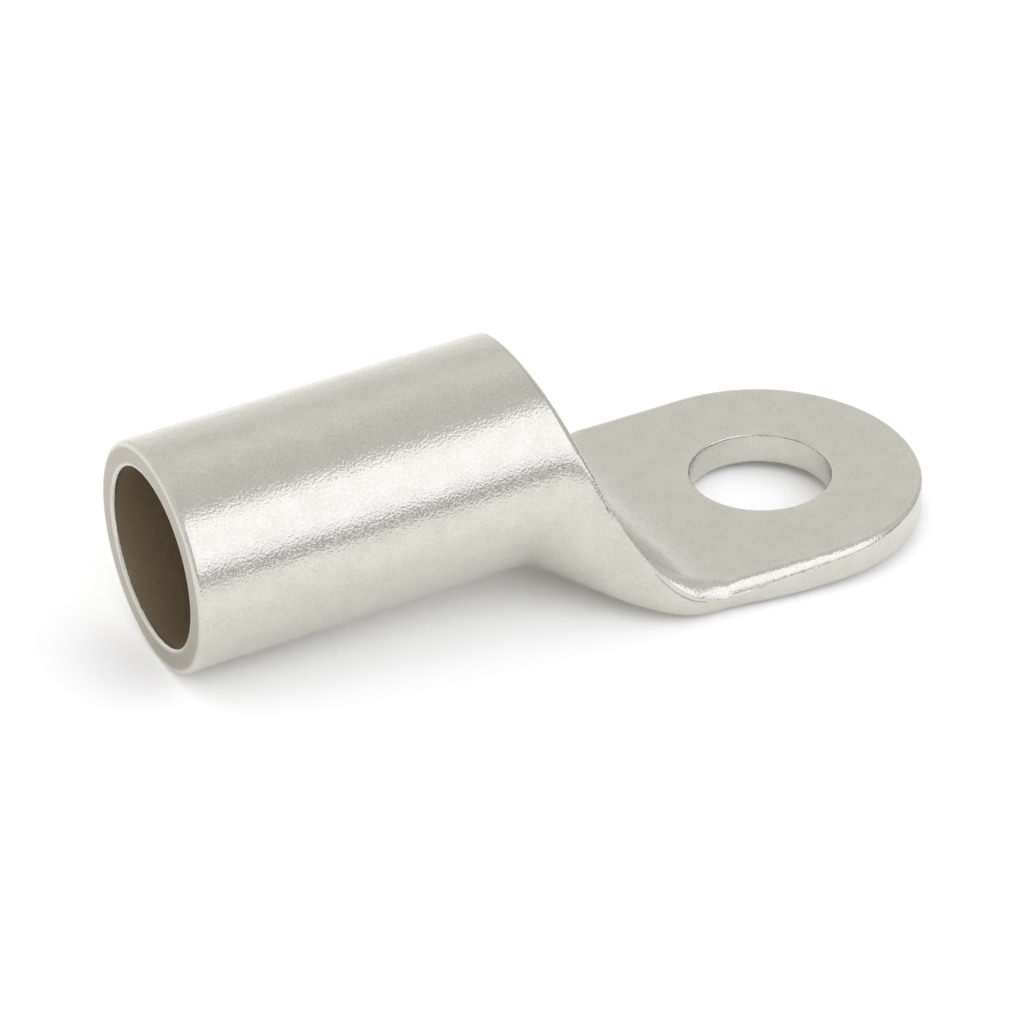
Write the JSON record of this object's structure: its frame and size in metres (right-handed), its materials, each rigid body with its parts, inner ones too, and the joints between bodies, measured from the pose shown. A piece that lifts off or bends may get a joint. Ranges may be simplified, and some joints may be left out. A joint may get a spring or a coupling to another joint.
{
  "type": "ring terminal",
  "caption": "Tinned copper tubular cable lug: a round barrel for the conductor steps down to a flat palm with a stud hole.",
  "frame": {"origin": "centre of the stud hole, halfway through the palm's thickness", "axes": "+Z along the stud hole, out of the face that the barrel rises above; +X from the barrel's mouth towards the palm's tip, in the plane of symmetry"},
  "size_m": [0.0605, 0.0248, 0.0193],
  "materials": {
    "tin_plating": "matt electro-tinned copper, annealed, with a fine orange-peel grain"
  },
  "bodies": {
    "root": {"cable_lug": "tin_plating"}
  },
  "joints": []
}
